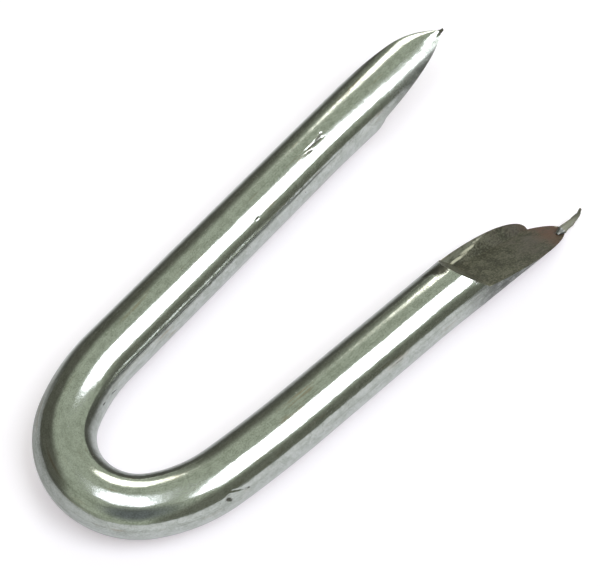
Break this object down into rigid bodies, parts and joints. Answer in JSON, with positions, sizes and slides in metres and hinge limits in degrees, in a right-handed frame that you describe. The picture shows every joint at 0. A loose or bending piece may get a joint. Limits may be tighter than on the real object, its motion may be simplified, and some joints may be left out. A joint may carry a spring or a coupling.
{
  "type": "fence staple",
  "caption": "U-shaped fence staple of round zinc-coated wire with slash-cut points, used and slightly nicked.",
  "frame": {"origin": "centre of the crown's bend, on the plane of the wire's centreline", "axes": "+Y from the crown along the legs towards the points, +Z square to the plane of the U and up as it lies"},
  "size_m": [0.0187, 0.0421, 0.004],
  "materials": {
    "zinc_coated_wire": "hot-dip zinc on drawn steel wire, worn to grey streaks, bare steel at the cuts"
  },
  "bodies": {
    "root": {"staple": "zinc_coated_wire"}
  },
  "joints": []
}
